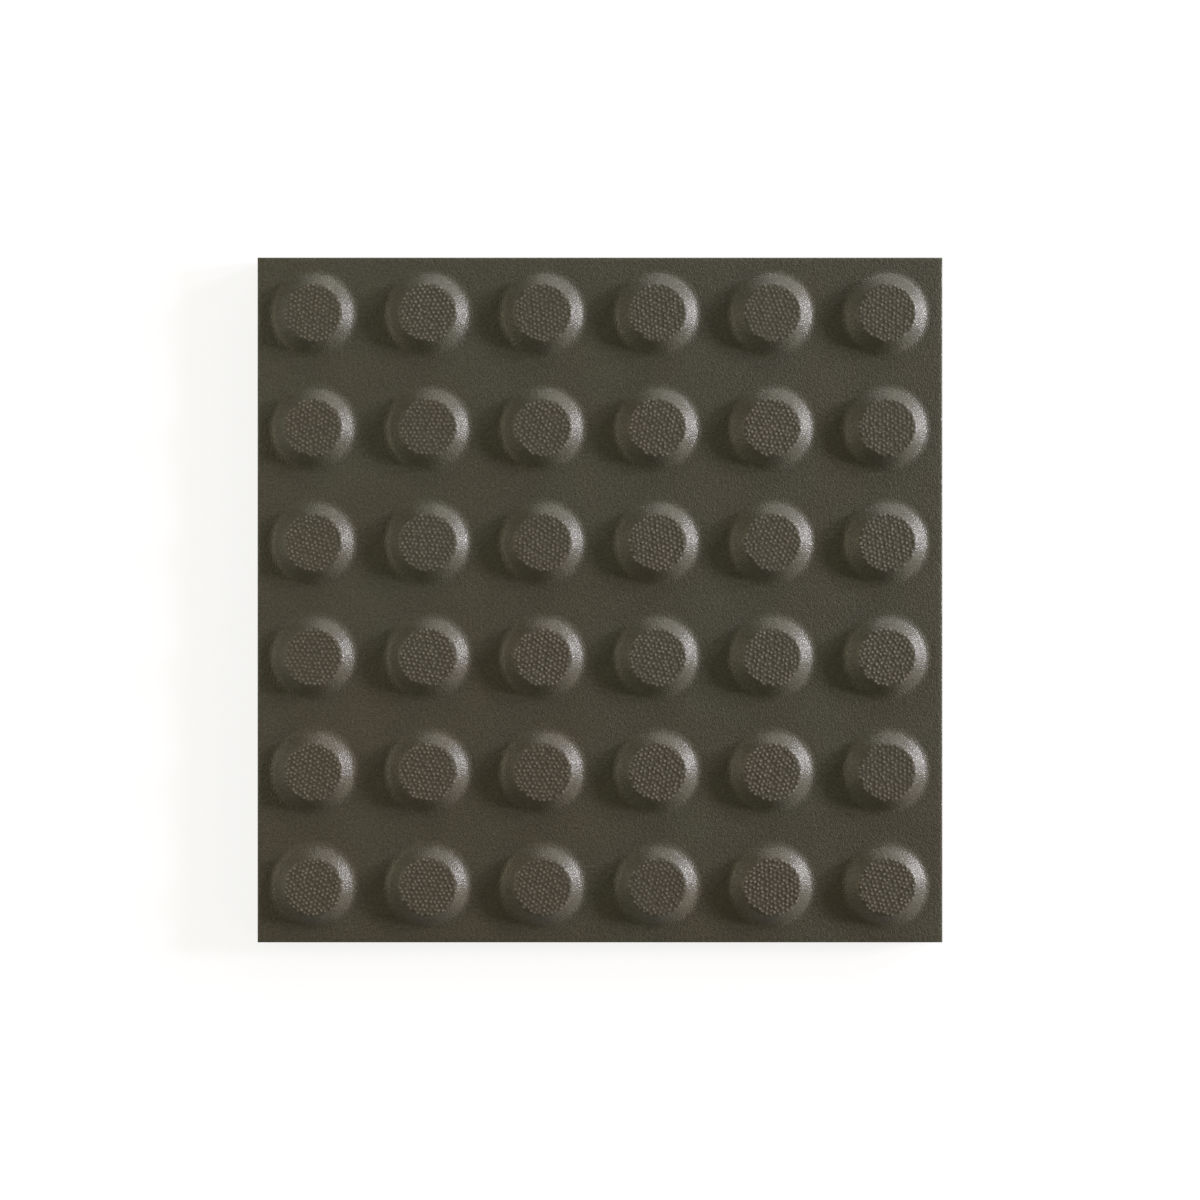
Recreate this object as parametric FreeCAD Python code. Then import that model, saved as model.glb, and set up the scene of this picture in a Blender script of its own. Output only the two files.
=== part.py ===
"""Tactile paving slab: a square slab of fired stoneware, pressed in one piece.

A grid of flat-topped warning studs stands on its walking face. Each stud is a truncated cone
with a rounded shoulder round its crown and a soft root where it runs out into the face.

Millimetres, +Z up. The origin is the centre of the bedding face, so the slab lies on Z = 0.
"""

import FreeCAD
import Part
import math
import os

# Slab body
slab_side = 300.0
slab_thickness = 10.0
top_arris_radius = 0.7
bed_chamfer = 0.8

# Stud grid
stud_pitch = 50.0
edge_land = 2.0

# One stud; its diameters are those of the cone before the shoulder and the root round it off
stud_height = 5.0
crown_diameter = 25.0
flank_run = 5.4
shoulder_radius = 2.0
root_radius = 6.0

# How far a stud reaches into the body, so that the two fuse in one volume
stud_sink = slab_thickness / 2

UP = FreeCAD.Vector(0, 0, 1)

def profile_point(radius, height):
    """A point of the stud's half section, at a height above the walking face."""
    return FreeCAD.Vector(radius, 0, slab_thickness + height)

class StudSection:
    """Where the arcs and lines of a stud's half section meet."""

    def __init__(self):
        crown_radius = crown_diameter / 2
        foot_radius = crown_radius + flank_run
        self.flank_angle = math.atan2(stud_height, flank_run)

        # Each arc takes its radius times the tangent of half the flank's angle from the lines beside it.
        half_turn = math.tan(self.flank_angle / 2)
        self.shoulder_start = crown_radius - shoulder_radius * half_turn
        self.root_end = foot_radius + root_radius * half_turn

    def on_shoulder(self, angle):
        """The point of the shoulder's arc where the surface is tilted by that angle."""
        return profile_point(
            self.shoulder_start + shoulder_radius * math.sin(angle),
            stud_height - shoulder_radius + shoulder_radius * math.cos(angle),
        )

    def on_root(self, angle):
        """The point of the root's arc where the surface is tilted by that angle."""
        return profile_point(
            self.root_end - root_radius * math.sin(angle),
            root_radius - root_radius * math.cos(angle),
        )

def arc(point_at, start_angle, end_angle):
    """The arc from one tilt to another, given the function that places its points."""
    middle = (start_angle + end_angle) / 2
    return Part.Arc(point_at(start_angle), point_at(middle), point_at(end_angle)).toShape()

def stud_solid(section):
    """One stud on the Z axis, with a plain cylinder below it to sink into the body."""
    axis_foot = profile_point(0, -stud_sink)
    outer_foot = profile_point(section.root_end, -stud_sink)
    crown_centre = profile_point(0, stud_height)
    tilt = section.flank_angle
    outline = [
        Part.makeLine(axis_foot, crown_centre),
        Part.makeLine(crown_centre, section.on_shoulder(0)),
        arc(section.on_shoulder, 0, tilt),
        Part.makeLine(section.on_shoulder(tilt), section.on_root(tilt)),
        arc(section.on_root, tilt, 0),
        Part.makeLine(section.on_root(0), outer_foot),
        Part.makeLine(outer_foot, axis_foot),
    ]
    face = Part.Face(Part.Wire(outline))
    return face.revolve(FreeCAD.Vector(0, 0, 0), UP, 360)

def edges_at_height(solid, height):
    """The edges that lie flat at one height."""
    return [
        edge
        for edge in solid.Edges
        if all(abs(vertex.Point.z - height) < Part.Precision.confusion() for vertex in edge.Vertexes)
    ]

def body_solid():
    """The square body: rounded along its top edges and chamfered along its bed."""
    corner = FreeCAD.Vector(-slab_side / 2, -slab_side / 2, 0)
    body = Part.makeBox(slab_side, slab_side, slab_thickness, corner)
    body = body.makeFillet(top_arris_radius, edges_at_height(body, slab_thickness))
    return body.makeChamfer(bed_chamfer, edges_at_height(body, 0))

def stud_centres(section):
    """The centred grid of as many studs as the slab has room for."""
    room = slab_side - 2 * (section.root_end + edge_land + top_arris_radius)
    gaps = int(room // stud_pitch)
    places = [stud_pitch * (i - gaps / 2) for i in range(gaps + 1)]
    return [FreeCAD.Vector(x, y, 0) for y in places for x in places]

def slab_solid():
    """The whole slab as one solid."""
    section = StudSection()
    stud = stud_solid(section)
    studs = []
    for centre in stud_centres(section):
        placed = stud.copy()
        placed.translate(centre)
        studs.append(placed)
    return body_solid().fuse(studs).removeSplitter()

def main():
    os.makedirs("parts", exist_ok=True)
    slab = slab_solid()
    slab.exportStep("parts/tactile_slab.step")
    section = StudSection()
    print("solids", len(slab.Solids), "faces", len(slab.Faces), "valid", slab.isValid())
    print("volume cm3", round(slab.Volume / 1000, 2), "box", slab.optimalBoundingBox())
    print("flank angle", round(math.degrees(section.flank_angle), 2))
    print("stud from", round(section.shoulder_start, 3), "to", round(section.root_end, 3))

main()
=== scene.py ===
"""Looks of the tactile paving slab: its grained studs, fired stoneware finish, floor, light and camera.

Metres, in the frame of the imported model: +Z up, with the slab's bedding face on Z = 0.
"""

import cmath
import math

import bpy
import numpy as np
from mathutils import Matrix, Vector
from mathutils.geometry import delaunay_2d_cdt


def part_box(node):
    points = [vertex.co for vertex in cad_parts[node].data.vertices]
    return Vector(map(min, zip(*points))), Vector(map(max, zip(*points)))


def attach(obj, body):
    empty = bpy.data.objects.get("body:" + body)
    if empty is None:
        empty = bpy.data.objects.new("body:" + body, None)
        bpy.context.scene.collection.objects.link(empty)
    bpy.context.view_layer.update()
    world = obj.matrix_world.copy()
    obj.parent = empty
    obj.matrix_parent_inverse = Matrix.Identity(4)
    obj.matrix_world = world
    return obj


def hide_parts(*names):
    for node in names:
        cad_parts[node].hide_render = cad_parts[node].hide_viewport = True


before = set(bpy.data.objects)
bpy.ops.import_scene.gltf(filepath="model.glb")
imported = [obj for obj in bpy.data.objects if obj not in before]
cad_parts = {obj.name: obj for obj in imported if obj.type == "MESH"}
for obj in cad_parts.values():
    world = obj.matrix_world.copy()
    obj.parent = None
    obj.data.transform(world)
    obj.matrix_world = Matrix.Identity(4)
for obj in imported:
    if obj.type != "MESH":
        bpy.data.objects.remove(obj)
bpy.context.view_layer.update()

SLAB_LOW, SLAB_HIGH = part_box("tactile_slab")
MM = 0.001

# Body of the slab
HALF_SIDE = (SLAB_HIGH.x - SLAB_LOW.x) / 2
STUD_HEIGHT = 5.0 * MM
FACE_HEIGHT = SLAB_HIGH.z - STUD_HEIGHT
ARRIS_RADIUS = 0.7 * MM
BED_CHAMFER = 0.8 * MM

# The walking face falls off a little towards the arris, as on any pressed slab
CUSHION_RUN = 1.6 * MM
CUSHION_DROP = 0.04 * MM
FLAT_EDGE = HALF_SIDE - ARRIS_RADIUS - CUSHION_RUN

# Studs
STUD_PITCH = 50.0 * MM
STUDS_A_ROW = round(2 * HALF_SIDE / STUD_PITCH)
CROWN_RADIUS = 12.5 * MM
FLANK_RUN = 5.4 * MM
SHOULDER_RADIUS = 2.0 * MM
ROOT_RADIUS = 6.0 * MM

# Grains raised on each crown; the tallest are level with the stud's full height
GRAIN_PITCH = 2.06 * MM
GRAIN_RADIUS = 0.78 * MM
GRAIN_HEIGHT = 0.26 * MM
GRAIN_FIELD = 12.15 * MM
GRAIN_WIDTHS = (0.85, 1.1)
GRAIN_RISES = (0.65, 1.0)
GRAIN_STRETCH = 1.3
SHALLOWEST_PRESSING = 0.8
CROWN_MARGIN = 0.1 * MM

# Spread of the grains; in each round, those that lack room move apart by a share of what they lack
GRAIN_CATCH = 0.6 * MM
GRAIN_SHAKE = 0.24 * MM
GRAIN_ROOM = 1.6 * MM
SETTLING_ROUNDS = 6
SETTLING_SHARE = 0.3

# Where the lines and arcs of a stud's half section meet, below the grains
CROWN_FLOOR = STUD_HEIGHT - GRAIN_HEIGHT
FLANK_TILT = math.atan2(CROWN_FLOOR, FLANK_RUN)
SHOULDER_START = CROWN_RADIUS - SHOULDER_RADIUS * math.tan(FLANK_TILT / 2)
ROOT_END = CROWN_RADIUS + FLANK_RUN + ROOT_RADIUS * math.tan(FLANK_TILT / 2)

# The grained crown ends on the shoulder, where that has most of the flank's tilt
CROWN_EDGE_TILT = 0.8 * FLANK_TILT

# How finely the skin is divided; a narrow support beside a bend keeps the flat next to it evenly shaded
SPOKES = 64
SHOULDER_STEPS = 2
ROOT_STEPS = 5
ARRIS_STEPS = 4
GRAIN_SIDES = 6
SUPPORT = 0.35 * MM
SEAM = 0.001 * MM
SHARP_FROM = math.radians(60)

# A grain's rings of points, each as (share of its reach, share of its rise, turn in sides)
GRAIN_RINGS = ((0.55, 0.75, 0.0), (1.0, 0.0, 0.5))

# Shares of the flat map's side: the walking face, the bed, the step from wall to wall, and the margin
MAP_FACE = 0.80
MAP_BED = 0.16
MAP_WALL_STEP = 0.03
MAP_MARGIN = 0.005

# Parts of the skin, each with its own finish
WALKING_FACE, CROWN, EDGE, BED = range(4)


def shoulder_point(tilt):
    """The point of the shoulder's arc with that tilt, as (radius, height above the face)."""
    radius = SHOULDER_START + SHOULDER_RADIUS * math.sin(tilt)
    height = CROWN_FLOOR - SHOULDER_RADIUS * (1 - math.cos(tilt))
    return radius, height


def root_point(tilt):
    """The point of the root's arc with that tilt, as (radius, height above the face)."""
    radius = ROOT_END - ROOT_RADIUS * math.sin(tilt)
    height = ROOT_RADIUS * (1 - math.cos(tilt))
    return radius, height


def stud_profile():
    """The stud's half section from the edge of its grained crown to the flat."""
    shoulder_tilts = np.linspace(CROWN_EDGE_TILT, FLANK_TILT, SHOULDER_STEPS + 1)
    root_tilts = np.linspace(FLANK_TILT, 0, ROOT_STEPS + 1)
    shoulder = [shoulder_point(tilt) for tilt in shoulder_tilts]
    root = [root_point(tilt) for tilt in root_tilts]
    return shoulder + root + [(ROOT_END + SUPPORT, 0.0)]


def crown_height(radius):
    """How high the crown lies between its grains: level in the middle, then down the shoulder's arc."""
    past = max(0.0, radius - SHOULDER_START)
    return CROWN_FLOOR - SHOULDER_RADIUS + math.sqrt(SHOULDER_RADIUS ** 2 - past ** 2)


def spoke_angles():
    """The even angles at which each ring round a stud has its points."""
    return [2 * math.pi * spoke / SPOKES for spoke in range(SPOKES)]


class Skin:
    """A skin, gathered ring by ring: its points, its faces and the part that each face belongs to."""

    def __init__(self):
        self.points = []
        self.rises = []
        self.faces = []
        self.parts = []
        self.numbers = {}

    def point(self, x, y, z, rise=0.0):
        """The number of the point at that place, which neighbours along a seam share.

        rise says how high it lies on a grain, from 0 at the foot to 1 on the highest tip.
        """
        key = (round(x / SEAM), round(y / SEAM), round(z / SEAM))
        if key not in self.numbers:
            self.numbers[key] = len(self.points)
            self.points.append((x, y, z))
            self.rises.append(rise)
        return self.numbers[key]

    def ring(self, middle, radius, height):
        """A level ring of points round an upright axis."""
        return [
            self.point(middle[0] + radius * math.cos(angle), middle[1] + radius * math.sin(angle), height)
            for angle in spoke_angles()
        ]

    def face(self, corners, part):
        """One face, with its corners' numbers anticlockwise on the side that shows."""
        self.faces.append(corners)
        self.parts.append(part)

    def band(self, inner, outer, part):
        """A closed band of four-sided faces between two rings of as many points."""
        for here in range(len(inner)):
            after = (here + 1) % len(inner)
            self.face((inner[here], outer[here], outer[after], inner[after]), part)


def row_places():
    """The middles of a row's studs, along the row."""
    first = -(STUDS_A_ROW - 1) / 2
    return [STUD_PITCH * (first + number) for number in range(STUDS_A_ROW)]


def stud_places():
    """The middle of each stud, row by row."""
    return [(x, y) for y in row_places() for x in row_places()]


def grain_places(random):
    """Where a crown's grains stand, as complex numbers.

    A turned honeycomb is shaken, and its grains are then settled apart and gathered in at the field's edge.
    """
    span = round(2 * GRAIN_FIELD / GRAIN_PITCH)
    steps = range(-span, span + 1)
    sixth = cmath.exp(1j * math.pi / 3)
    comb = GRAIN_PITCH * np.array([along + across * sixth for along in steps for across in steps])
    turn = cmath.exp(1j * random.uniform(0, math.pi / 3))
    shift = GRAIN_PITCH * complex(*random.uniform(-0.5, 0.5, 2))
    comb = comb * turn + shift
    places = comb[abs(comb) < GRAIN_FIELD + GRAIN_CATCH]
    places = places + random.normal(0, GRAIN_SHAKE, (len(places), 2)) @ (1, 1j)
    itself = np.eye(len(places))
    for _ in range(SETTLING_ROUNDS):
        apart = places[:, None] - places
        distance = abs(apart) + itself
        push = np.clip(GRAIN_ROOM - distance, 0, None) * (1 - itself)
        places = places + SETTLING_SHARE * (apart / distance * push).sum(1)
        places = places * np.minimum(1, GRAIN_FIELD / np.maximum(abs(places), SEAM))
    return places


def grain_points(place, random):
    """One grain's points, as (place, rise): its tip, a ring round its side and a ring at its foot."""
    reach = GRAIN_RADIUS * random.uniform(*GRAIN_WIDTHS)
    rise = random.uniform(*GRAIN_RISES)
    stretch = random.uniform(1.0, GRAIN_STRETCH)
    turn = cmath.exp(1j * random.uniform(0, 2 * math.pi))
    points = [(place, rise)]
    for share, level, shift in GRAIN_RINGS:
        for side in range(GRAIN_SIDES):
            angle = 2 * math.pi * (side + shift) / GRAIN_SIDES
            arm = complex(stretch * math.cos(angle), math.sin(angle) / stretch)
            points.append((place + reach * share * turn * arm, rise * level))
    return points


def lay_crown(skin, middle, edge, random):
    """The grained crown of one stud, inside the ring of points along its edge."""
    numbers = list(edge)
    flat = []
    for number in edge:
        x, y, _ = skin.points[number]
        flat.append(Vector((x - middle[0], y - middle[1])) / MM)
    edge_radius, _ = stud_profile()[0]
    limit = edge_radius - CROWN_MARGIN
    pressed = random.uniform(SHALLOWEST_PRESSING, 1.0)
    for grain in grain_places(random):
        for place, rise in grain_points(grain, random):
            place *= min(1.0, limit / max(abs(place), SEAM))
            rise *= pressed
            height = crown_height(abs(place)) + rise * GRAIN_HEIGHT
            x, y = middle[0] + place.real, middle[1] + place.imag
            numbers.append(skin.point(x, y, FACE_HEIGHT + height, rise))
            flat.append(Vector((place.real, place.imag)) / MM)
    whole_outline, same_place = 0, 1e-6
    _, _, faces, origins, _, _ = delaunay_2d_cdt(flat, [], [], whole_outline, same_place)
    for face in faces:
        skin.face(tuple(numbers[origins[corner][0]] for corner in face), CROWN)


def lay_stud(skin, middle, random):
    """One stud with the square of the walking face round it."""
    rings = [skin.ring(middle, radius, FACE_HEIGHT + height) for radius, height in stud_profile()]
    border = []
    for angle in spoke_angles():
        along, across = math.cos(angle), math.sin(angle)
        reach = STUD_PITCH / 2 / max(abs(along), abs(across))
        x = max(-FLAT_EDGE, min(FLAT_EDGE, middle[0] + reach * along))
        y = max(-FLAT_EDGE, min(FLAT_EDGE, middle[1] + reach * across))
        border.append(skin.point(x, y, FACE_HEIGHT))
    rings.append(border)
    for inner, outer in zip(rings, rings[1:]):
        skin.band(inner, outer, WALKING_FACE)
    lay_crown(skin, middle, rings[0], random)


def rim_places():
    """The places along the flat's edge, anticlockwise, at which the outer studs' squares have points."""
    eighth = SPOKES // 8
    shares = [math.tan(2 * math.pi * spoke / SPOKES) for spoke in range(-eighth, eighth)]
    along = [middle + STUD_PITCH / 2 * share for middle in row_places() for share in shares]
    along[0] = -FLAT_EDGE
    south = [(place, -FLAT_EDGE) for place in along]
    east = [(FLAT_EDGE, place) for place in along]
    north = [(-place, FLAT_EDGE) for place in along]
    west = [(-FLAT_EDGE, -place) for place in along]
    return south + east + north + west


def rim_row(skin, reach, height):
    """A ring of points round the slab, with its sides at that reach from the middle."""

    def moved(value):
        """That coordinate, carried out to the reach if it lies on the flat's edge."""
        on_edge = abs(abs(value) - FLAT_EDGE) < SEAM
        return math.copysign(reach, value) if on_edge else value

    return [skin.point(moved(x), moved(y), height) for x, y in rim_places()]


def lay_rim(skin):
    """The slab's edge from the flat, over the arris and down the wall to the bed."""
    arris_middle = HALF_SIDE - ARRIS_RADIUS
    arris_base = FACE_HEIGHT - ARRIS_RADIUS
    arris = []
    for tilt in np.linspace(0, math.pi / 2, ARRIS_STEPS + 1):
        reach = arris_middle + ARRIS_RADIUS * math.sin(tilt)
        height = arris_base + ARRIS_RADIUS * math.cos(tilt) - CUSHION_DROP
        arris.append((reach, height))
    face_rows = [(FLAT_EDGE, FACE_HEIGHT)] + arris
    _, wall_top = arris[-1]
    wall_heights = (wall_top - SUPPORT, BED_CHAMFER + SUPPORT, BED_CHAMFER)
    wall_rows = [arris[-1]] + [(HALF_SIDE, level) for level in wall_heights]
    bed_rows = [wall_rows[-1], (HALF_SIDE - BED_CHAMFER, 0.0), (HALF_SIDE - BED_CHAMFER - SUPPORT, 0.0)]
    for rows, part in ((face_rows, WALKING_FACE), (wall_rows, EDGE), (bed_rows, BED)):
        rings = [rim_row(skin, reach, height) for reach, height in rows]
        for inner, outer in zip(rings, rings[1:]):
            skin.band(inner, outer, part)
    skin.face(tuple(reversed(rings[-1])), BED)


def read_values(items, name, width=1, kind=float):
    """One value, or a row of them, for each of a mesh's points, corners or faces."""
    values = np.empty(len(items) * width, dtype=kind)
    items.foreach_get(name, values)
    return values.reshape(-1, width) if width > 1 else values


def lay_map(mesh, parts):
    """A flat map of the skin: the walking face from above, the walls as strips and the bed from below."""
    places = read_values(mesh.vertices, "co", 3)
    corners = read_values(mesh.loops, "vertex_index", kind=int)
    counts = read_values(mesh.polygons, "loop_total", kind=int)
    middle = np.repeat(read_values(mesh.polygons, "center", 3), counts, axis=0)
    part = np.repeat(np.array(parts), counts)
    x, y, z = (places[corners] + (HALF_SIDE, HALF_SIDE, 0)).T / (2 * HALF_SIDE)
    u = MAP_MARGIN + MAP_FACE * x
    v = MAP_MARGIN + MAP_FACE * y
    faces_x = np.abs(middle[:, 0]) > np.abs(middle[:, 1])
    ahead = np.where(faces_x, middle[:, 0], middle[:, 1]) > 0
    strip = 2 * faces_x + ahead
    wall = part == EDGE
    u = np.where(wall, MAP_MARGIN + MAP_FACE * np.where(faces_x, y, x), u)
    v = np.where(wall, 2 * MAP_MARGIN + MAP_FACE + MAP_WALL_STEP * strip + MAP_FACE * z, v)
    bed = part == BED
    u = np.where(bed, 1 - MAP_MARGIN - MAP_BED * x, u)
    v = np.where(bed, MAP_MARGIN + MAP_BED * y, v)
    layer = mesh.uv_layers.new(name="OFBake")
    layer.uv.foreach_set("vector", np.stack([u, v], 1).ravel())


def slab_piece(finishes):
    """The whole slab as one closed mesh."""
    skin = Skin()
    for number, middle in enumerate(stud_places()):
        lay_stud(skin, middle, np.random.default_rng(number))
    lay_rim(skin)
    mesh = bpy.data.meshes.new("studded_slab")
    mesh.from_pydata(skin.points, [], skin.faces)
    for finish in finishes:
        mesh.materials.append(finish)
    mesh.polygons.foreach_set("material_index", skin.parts)
    mesh.polygons.foreach_set("use_smooth", [True] * len(skin.faces))
    mesh.set_sharp_from_angle(angle=SHARP_FROM)
    mesh.attributes.new("grain_rise", "FLOAT", "POINT").data.foreach_set("value", skin.rises)
    lay_map(mesh, skin.parts)
    mesh.update()
    piece = bpy.data.objects.new("studded_slab", mesh)
    bpy.context.scene.collection.objects.link(piece)
    return piece


class Nodes:
    """A node tree, with short ways to add nodes and join them."""

    # The places of a Mix node's sockets for colours
    MIX_SHARE = 0
    MIX_LOW = 6
    MIX_HIGH = 7
    MIX_RESULT = 2

    def __init__(self, tree):
        self.tree = tree

    def add(self, kind, inputs=(), **settings):
        """A new node; inputs maps a socket's name or number to a value or to the output that feeds it."""
        node = self.tree.nodes.new(kind)
        for name, value in settings.items():
            setattr(node, name, value)
        for socket, value in dict(inputs).items():
            self.feed(node.inputs[socket], value)
        return node

    def feed(self, socket, value):
        """Joins an output to a socket, or sets the socket to a plain value."""
        if isinstance(value, bpy.types.NodeSocket):
            self.tree.links.new(value, socket)
        else:
            socket.default_value = value

    def sum(self, operation, *values):
        """The outcome of one step of arithmetic."""
        return self.add("ShaderNodeMath", dict(enumerate(values)), operation=operation).outputs[0]

    def blend(self, share, low, high, kind="MIX"):
        """One colour laid over another."""
        node = self.add("ShaderNodeMix", data_type="RGBA", blend_type=kind)
        for socket, value in ((self.MIX_SHARE, share), (self.MIX_LOW, low), (self.MIX_HIGH, high)):
            self.feed(node.inputs[socket], value)
        return node.outputs[self.MIX_RESULT]

    def shaded(self, colour, level):
        """A colour made lighter or darker by a level round 1."""
        shade = self.add("ShaderNodeCombineColor", {0: level, 1: level, 2: level}).outputs[0]
        return self.blend(1.0, colour, shade, "MULTIPLY")

    def remap(self, value, low, high, to_low=0.0, to_high=1.0):
        """A value brought from one range into another, and held inside it."""
        inputs = {"Value": value, "From Min": low, "From Max": high, "To Min": to_low, "To Max": to_high}
        return self.add("ShaderNodeMapRange", inputs, clamp=True).outputs[0]

    def noise(self, size, detail, place, shift=0.0):
        """Cloudy noise with lumps of that size, from 0 to 1; the shift keeps two noises from lining up."""
        scale = self.sum("DIVIDE", 1.0, size)
        moved = self.add("ShaderNodeVectorMath", {0: place, 1: (shift, shift, shift)}).outputs[0]
        return self.add("ShaderNodeTexNoise", {"Vector": moved, "Scale": scale, "Detail": detail}).outputs[0]


def new_group(name, inputs, outputs):
    """An empty node group with those sockets, its nodes, its inputs and its output node."""
    tree = bpy.data.node_groups.new(name, "ShaderNodeTree")
    for label, kind, value in inputs:
        socket = tree.interface.new_socket(label, in_out="INPUT", socket_type=kind)
        socket.default_value = value
    for label, kind in outputs:
        tree.interface.new_socket(label, in_out="OUTPUT", socket_type=kind)
    nodes = Nodes(tree)
    taken = nodes.add("NodeGroupInput").outputs
    given = nodes.add("NodeGroupOutput").inputs
    place = nodes.add("ShaderNodeTexCoord").outputs["Object"]
    return tree, nodes, taken, given, place


FLOAT = "NodeSocketFloat"
COLOUR = "NodeSocketColor"

# Painted light: how fast the tone turns cool and a little lighter across the slab, per metre along X, Y and
# Z
PAINTED_LIGHT_DRIFT = (0.5, 1.3, 0.0)

# The range over which the tone turns from warm to cool, and the clouds' size as a share of the patches'
TONE_RANGE = (0.25, 0.75)
CLOUD_SHARE = 0.35
PATCH_DETAIL = 2.0
CLOUD_DETAIL = 3.0

# The range that cloudy noise mostly keeps to
NOISE_RANGE = (0.3, 0.7)

# Coarse sand is this many times the grain size, and fine sand makes this share of the relief
COARSE_SIZE = 2.0
FINE_SHARE = 0.7

# A spot is whole out to the first of these shares of its size, and gone at the second
SPOT_FADE = (0.3, 0.6)


def tone_and_painted_light_group():
    """Cloudy body tone, with painted light: cool and lighter towards +X and +Y, warm towards -X and -Y."""
    tree, nodes, taken, given, place = new_group(
        "tone and painted light",
        [
            ("Cool", COLOUR, (0.07, 0.07, 0.05, 1)),
            ("Warm", COLOUR, (0.07, 0.06, 0.04, 1)),
            ("Patch Size", FLOAT, 0.03),
            ("Unevenness", FLOAT, 0.1),
        ],
        [("Color", COLOUR)],
    )
    # Painted light: the drift turns the tone cool and a little lighter towards +X and +Y, where the light
    # falls
    drift = nodes.add("ShaderNodeVectorMath", {0: place, 1: PAINTED_LIGHT_DRIFT}, operation="DOT_PRODUCT")
    patches = nodes.noise(taken["Patch Size"], PATCH_DETAIL, place)
    share = nodes.remap(nodes.sum("ADD", patches, drift.outputs["Value"]), *TONE_RANGE)
    cloud_size = nodes.sum("MULTIPLY", taken["Patch Size"], CLOUD_SHARE)
    clouds = nodes.noise(cloud_size, CLOUD_DETAIL, place, shift=1.7)
    tone = nodes.blend(share, taken["Warm"], taken["Cool"])
    level = nodes.sum("MULTIPLY_ADD", nodes.sum("SUBTRACT", clouds, 0.5), taken["Unevenness"], 1.0)
    nodes.feed(given["Color"], nodes.shaded(tone, level))
    return tree


def sandy_grain_group():
    """Fine sand in the fired surface: light and dark specks, uneven gloss, and the sand's relief."""
    tree, nodes, taken, given, place = new_group(
        "sandy grain",
        [("Grain Size", FLOAT, 0.5 * MM)],
        [("Specks", FLOAT), ("Gloss", FLOAT), ("Relief", FLOAT)],
    )
    fine_size = taken["Grain Size"]
    coarse_size = nodes.sum("MULTIPLY", fine_size, COARSE_SIZE)
    fine = nodes.noise(fine_size, 0.0, place)
    coarse = nodes.sum("MULTIPLY", nodes.noise(coarse_size, 0.0, place, shift=0.9), 1 - FINE_SHARE)
    specks = nodes.noise(coarse_size, 1.0, place, shift=2.3)
    gloss = nodes.noise(fine_size, 0.0, place, shift=3.1)
    nodes.feed(given["Specks"], nodes.remap(specks, *NOISE_RANGE))
    nodes.feed(given["Gloss"], nodes.remap(gloss, *NOISE_RANGE))
    nodes.feed(given["Relief"], nodes.sum("MULTIPLY_ADD", fine, FINE_SHARE, coarse))
    return tree


def iron_spots_group():
    """Sparse dark spots, where iron in the clay has burnt out."""
    tree, nodes, taken, given, place = new_group(
        "iron spots",
        [("Spacing", FLOAT, 6 * MM), ("Spot Size", FLOAT, 0.5 * MM), ("Share", FLOAT, 0.3)],
        [("Mask", FLOAT)],
    )
    scale = nodes.sum("DIVIDE", 1.0, taken["Spacing"])
    cells = nodes.add("ShaderNodeTexVoronoi", {"Vector": place, "Scale": scale})
    distance = nodes.sum("MULTIPLY", cells.outputs["Distance"], taken["Spacing"])
    picked = nodes.add("ShaderNodeSeparateColor", {0: cells.outputs["Color"]}).outputs[0]
    present = nodes.sum("LESS_THAN", picked, taken["Share"])
    near = nodes.remap(nodes.sum("DIVIDE", distance, taken["Spot Size"]), *SPOT_FADE, 1.0, 0.0)
    nodes.feed(given["Mask"], nodes.sum("MULTIPLY", present, near))
    return tree


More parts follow.
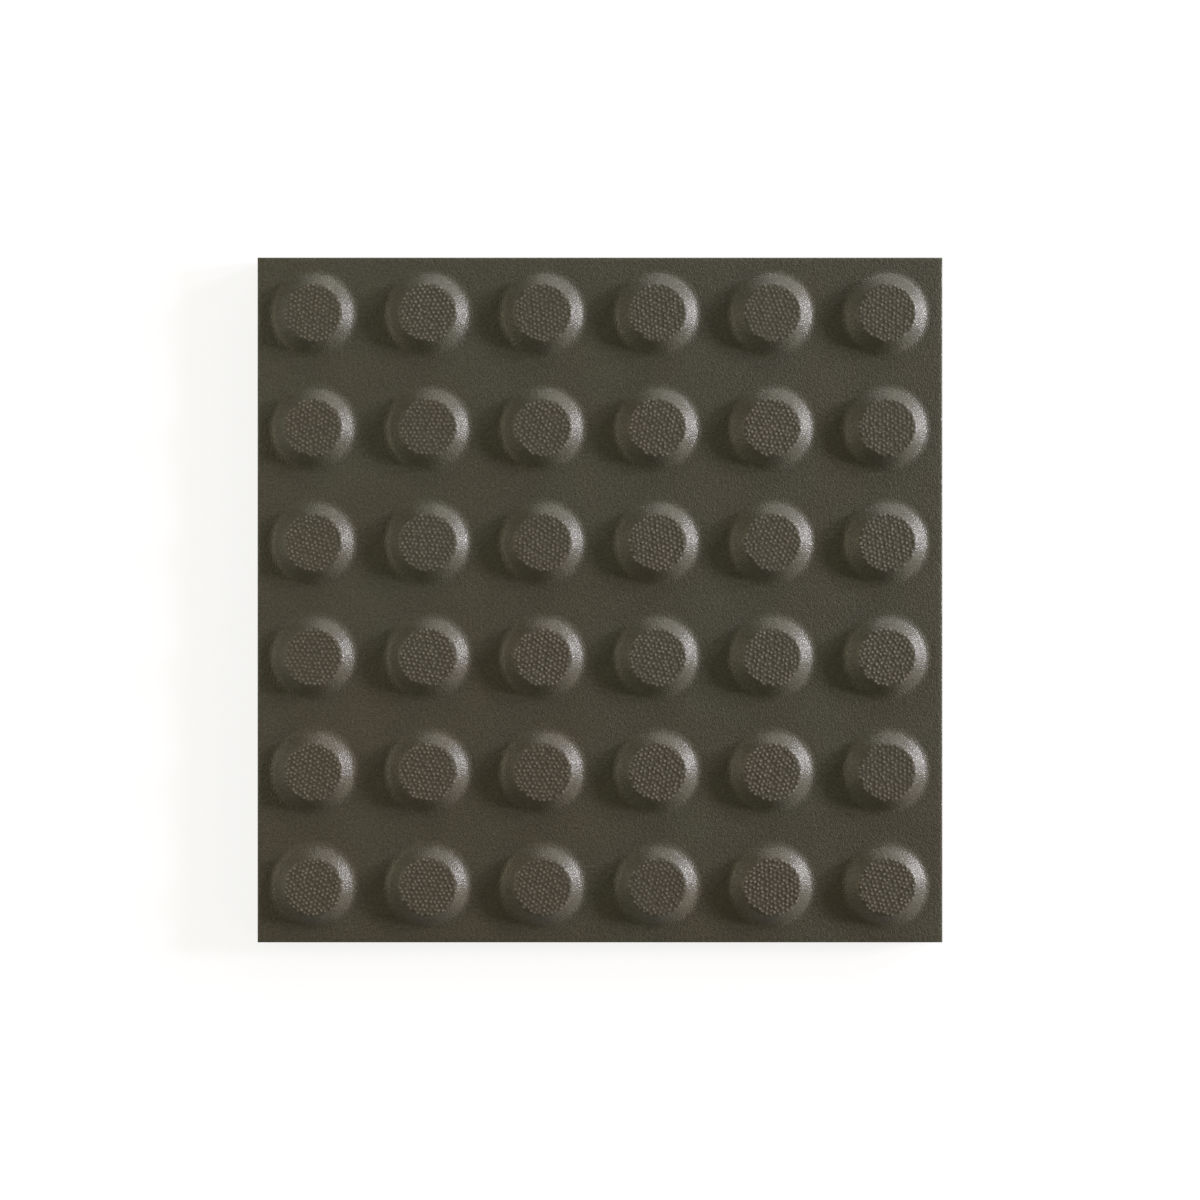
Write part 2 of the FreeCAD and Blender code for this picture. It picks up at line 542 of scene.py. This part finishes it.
class Stoneware:
    """The fired stoneware's shared effects, and the finishes that are made with them."""

    COOL = (0.0668, 0.0646, 0.0461, 1)
    WARM = (0.0672, 0.0598, 0.0412, 1)
    # The pale colour is for tips, partly worn and partly painted highlight; the dark one is for iron spots
    # and for painted shade between grains
    PALE_WEAR_AND_HIGHLIGHT = (0.236, 0.208, 0.174, 1)
    DARK_SPOTS_AND_GAP_SHADE = (0.027, 0.024, 0.016, 1)
    SPECULAR = 0.36
    GLOSS_SPREAD = 0.1

    # Cloudy tone and iron spots of the body
    PATCH_SIZE = 38 * MM
    UNEVENNESS = 0.2
    SPOT_SPACING = 7 * MM
    SPOT_SIZE = 0.7 * MM
    SPOT_SHARE = 0.3
    SPOT_DEPTH = 0.6

    # Gaps between grains get painted shade up to one rise; from another rise to a third, tips turn pale,
    # partly worn, partly painted highlight
    GAP_SHADE_DEPTH = 0.2
    GAP_TOP = 0.3
    TIP_WEAR_AND_HIGHLIGHT_FROM = 0.33
    TIP_WEAR_AND_HIGHLIGHT_TO = 0.9
    LEAST_TIP_WEAR_AND_HIGHLIGHT = 0.04

    def __init__(self):
        self.tone_and_painted_light = tone_and_painted_light_group()
        self.sandy_grain = sandy_grain_group()
        self.iron_spots = iron_spots_group()

    def start(self, name):
        """A new material with its shader, and a way to place the shared effects in it."""
        material = bpy.data.materials.new(name)
        material.use_nodes = True
        nodes = Nodes(material.node_tree)
        shader = material.node_tree.nodes["Principled BSDF"]

        def effect(tree, **inputs):
            """One of the shared effects with its own values; an underscore stands for a space in a label."""
            node = nodes.add("ShaderNodeGroup", node_tree=tree)
            for label, value in inputs.items():
                nodes.feed(node.inputs[label.replace("_", " ")], value)
            return node.outputs

        return material, nodes, shader, effect

    def surface(self, name, grain_size, speck, relief, roughness, tip_wear_and_highlight=0.0):
        """A finish of fired body with painted light across it, sandy grain and iron spots.

        tip_wear_and_highlight is how pale the grains' tips are, partly worn and partly painted highlight;
        without it the surface has no such grains.
        """
        material, nodes, shader, effect = self.start(name)
        fired = effect(
            self.tone_and_painted_light,
            Cool=self.COOL,
            Warm=self.WARM,
            Patch_Size=self.PATCH_SIZE,
            Unevenness=self.UNEVENNESS,
        )
        sand = effect(self.sandy_grain, Grain_Size=grain_size)
        iron = effect(
            self.iron_spots,
            Spacing=self.SPOT_SPACING,
            Spot_Size=self.SPOT_SIZE,
            Share=self.SPOT_SHARE,
        )
        level = nodes.remap(sand["Specks"], 0.0, 1.0, 1.0 - speck, 1.0 + speck)
        colour = nodes.shaded(fired["Color"], level)
        colour = nodes.blend(nodes.sum("MULTIPLY", iron["Mask"], self.SPOT_DEPTH), colour, self.DARK_SPOTS_AND_GAP_SHADE)
        # Painted shade between the raised grains, and a painted highlight on their partly worn tips
        if tip_wear_and_highlight:
            colour = self.wear(nodes, colour, tip_wear_and_highlight)
        nodes.feed(shader.inputs["Base Color"], colour)
        shader.inputs["Specular IOR Level"].default_value = self.SPECULAR
        dull, shiny = roughness + self.GLOSS_SPREAD, roughness - self.GLOSS_SPREAD
        nodes.feed(shader.inputs["Roughness"], nodes.remap(sand["Gloss"], 0.0, 1.0, dull, shiny))
        bump = nodes.add("ShaderNodeBump", {"Strength": 1.0, "Distance": relief, "Height": sand["Relief"]})
        nodes.feed(shader.inputs["Normal"], bump.outputs[0])
        return material

    def wear(self, nodes, colour, tip_wear_and_highlight):
        """That colour on raised grains: painted shade between them, and pale tips, partly worn and partly
        painted highlight.
        """
        rise = nodes.add("ShaderNodeAttribute", attribute_name="grain_rise").outputs["Fac"]
        gaps = nodes.remap(rise, 0.0, self.GAP_TOP, self.GAP_SHADE_DEPTH, 0.0)
        tips = nodes.remap(rise, self.TIP_WEAR_AND_HIGHLIGHT_FROM, self.TIP_WEAR_AND_HIGHLIGHT_TO, self.LEAST_TIP_WEAR_AND_HIGHLIGHT, tip_wear_and_highlight)
        colour = nodes.blend(gaps, colour, self.DARK_SPOTS_AND_GAP_SHADE)
        return nodes.blend(tips, colour, self.PALE_WEAR_AND_HIGHLIGHT)

    def walking_face(self):
        """The satin face that is walked on, with the studs' flanks."""
        return self.surface("walking_face", grain_size=0.6 * MM, speck=0.19, relief=0.28 * MM, roughness=0.4)

    def grained_crown(self):
        """The tops of the studs, with their raised grains."""
        sand = {"grain_size": 0.6 * MM, "speck": 0.12, "relief": 0.06 * MM}
        return self.surface("grained_crown", **sand, roughness=0.44, tip_wear_and_highlight=0.82)

    def pressed_edge(self):
        """The duller walls, as the mould left them."""
        return self.surface("pressed_edge", grain_size=0.8 * MM, speck=0.18, relief=0.16 * MM, roughness=0.6)

    def bed(self):
        """The rough underside."""
        return self.surface("bed", grain_size=1.0 * MM, speck=0.2, relief=0.2 * MM, roughness=0.7)

    def finishes(self):
        """The finishes in the order of the skin's parts."""
        return [self.walking_face(), self.grained_crown(), self.pressed_edge(), self.bed()]


# Photograph: the slab's side spans this many pixels of the square picture, at the walking face
PICTURE_PIXELS = 1200
SLAB_PIXELS = 685.4
CAMERA_DISTANCE = 0.8
SENSOR = 36.0
CLIP_START = 0.01


def place_camera():
    """A camera straight above the slab's middle, as far away as the studs' lean in the photograph shows."""
    camera = bpy.data.cameras.new("camera")
    picture_width = 2 * HALF_SIDE * PICTURE_PIXELS / SLAB_PIXELS
    camera.sensor_width = SENSOR
    camera.lens = SENSOR * CAMERA_DISTANCE / picture_width
    camera.clip_start = CLIP_START
    stand = bpy.data.objects.new("camera", camera)
    stand.location = (0, 0, FACE_HEIGHT + CAMERA_DISTANCE)
    bpy.context.scene.collection.objects.link(stand)
    bpy.context.scene.camera = stand


# Studio light
LAMP_DISTANCE = 3.2
COOL_LIGHT = (0.99, 0.965, 1.05)
SIDE_LIGHT = (1.02, 1.0, 0.94)
WARM_LIGHT = (1.05, 0.98, 0.72)
WORLD_FILL = 0.045


def soft_lamp(name, azimuth, elevation, width, height, power, colour):
    """A rectangular soft lamp aimed at the slab's middle; angles in degrees, azimuth from +X towards +Y."""
    lamp = bpy.data.lights.new(name, "AREA")
    lamp.shape = "RECTANGLE"
    lamp.size = width
    lamp.size_y = height
    lamp.energy = power
    lamp.color = colour
    stand = bpy.data.objects.new(name, lamp)
    turn, rise = math.radians(azimuth), math.radians(elevation)
    way = Vector((math.cos(rise) * math.cos(turn), math.cos(rise) * math.sin(turn), math.sin(rise)))
    stand.location = Vector((0, 0, FACE_HEIGHT)) + LAMP_DISTANCE * way
    stand.rotation_euler = (-way).to_track_quat("-Z", "Y").to_euler()
    stand.visible_camera = False
    bpy.context.scene.collection.objects.link(stand)


def light_world():
    """Plain even light from all round."""
    world = bpy.data.worlds.new("studio")
    world.use_nodes = True
    background = world.node_tree.nodes["Background"]
    background.inputs["Color"].default_value = (1, 1, 1, 1)
    background.inputs["Strength"].default_value = WORLD_FILL
    bpy.context.scene.world = world


# Floor and wall
FLOOR_COLOUR = (0.25, 0.25, 0.25, 1)
FLOOR_ROUGHNESS = 0.9
FLOOR_LEVEL = -0.1 * MM
FLOOR_REACH = 3.0
COVE_RADIUS = 0.7
COVE_STEPS = 8
WALL_TOP = 2.4

# How white the floor shows; in the slab's gloss that fades, from this far out, to the wall's glow
FLOOR_GLOW = 0.82
WALL_GLOW = 0.17
GLOW_FROM = 0.4


def floor_finish():
    """A pale floor that shows white in the picture and keeps the slab's shadow."""
    material = bpy.data.materials.new("pale_floor")
    material.use_nodes = True
    nodes = Nodes(material.node_tree)
    shader = material.node_tree.nodes["Principled BSDF"]
    shader.inputs["Base Color"].default_value = FLOOR_COLOUR
    shader.inputs["Roughness"].default_value = FLOOR_ROUGHNESS
    shader.inputs["Specular IOR Level"].default_value = 0.0
    shader.inputs["Emission Color"].default_value = (1, 1, 1, 1)
    path = nodes.add("ShaderNodeLightPath").outputs
    mirrored = nodes.sum("MAXIMUM", path["Is Glossy Ray"], path["Is Transmission Ray"])
    place = nodes.add("ShaderNodeTexCoord").outputs["Object"]
    distance = nodes.add("ShaderNodeVectorMath", {0: place}, operation="LENGTH").outputs["Value"]
    glow = nodes.remap(distance, GLOW_FROM, FLOOR_REACH, FLOOR_GLOW, WALL_GLOW)
    seen = nodes.sum("MULTIPLY", path["Is Camera Ray"], FLOOR_GLOW)
    nodes.feed(shader.inputs["Emission Strength"], nodes.sum("MULTIPLY_ADD", mirrored, glow, seen))
    return material


def lay_floor():
    """A round floor that sweeps up into a wall, so that each side is seen against the same pale ground."""
    cove = [
        (FLOOR_REACH + COVE_RADIUS * math.sin(tilt), FLOOR_LEVEL + COVE_RADIUS * (1 - math.cos(tilt)))
        for tilt in np.linspace(0, math.pi / 2, COVE_STEPS + 1)
    ]
    sweep = Skin()
    rings = [sweep.ring((0, 0), radius, height) for radius, height in cove + [(cove[-1][0], WALL_TOP)]]
    sweep.face(tuple(rings[0]), 0)
    for inner, outer in zip(rings, rings[1:]):
        sweep.band(inner, outer, 0)
    mesh = bpy.data.meshes.new("floor")
    mesh.from_pydata(sweep.points, [], sweep.faces)
    mesh.polygons.foreach_set("use_smooth", [True] * len(sweep.faces))
    mesh.materials.append(floor_finish())
    floor = bpy.data.objects.new("floor", mesh)
    bpy.context.scene.collection.objects.link(floor)


slab = slab_piece(Stoneware().finishes())
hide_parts("tactile_slab")
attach(slab, "root")

place_camera()
light_world()

# Two small keys low on one side light the studs' flanks, and broad soft lamps lift the rest
soft_lamp("key", azimuth=7.6, elevation=13.7, width=0.58, height=0.36, power=131, colour=COOL_LIGHT)
soft_lamp("second_key", azimuth=26.6, elevation=13.8, width=0.42, height=0.36, power=59, colour=COOL_LIGHT)
soft_lamp("side", azimuth=74, elevation=14, width=3.0, height=0.8, power=49, colour=SIDE_LIGHT)
soft_lamp("front", azimuth=-36, elevation=20, width=1.9, height=0.9, power=18, colour=WARM_LIGHT)
soft_lamp("fill", azimuth=176, elevation=36, width=2.6, height=2.4, power=48, colour=WARM_LIGHT)

lay_floor()
bpy.context.scene.view_settings.view_transform = "Standard"
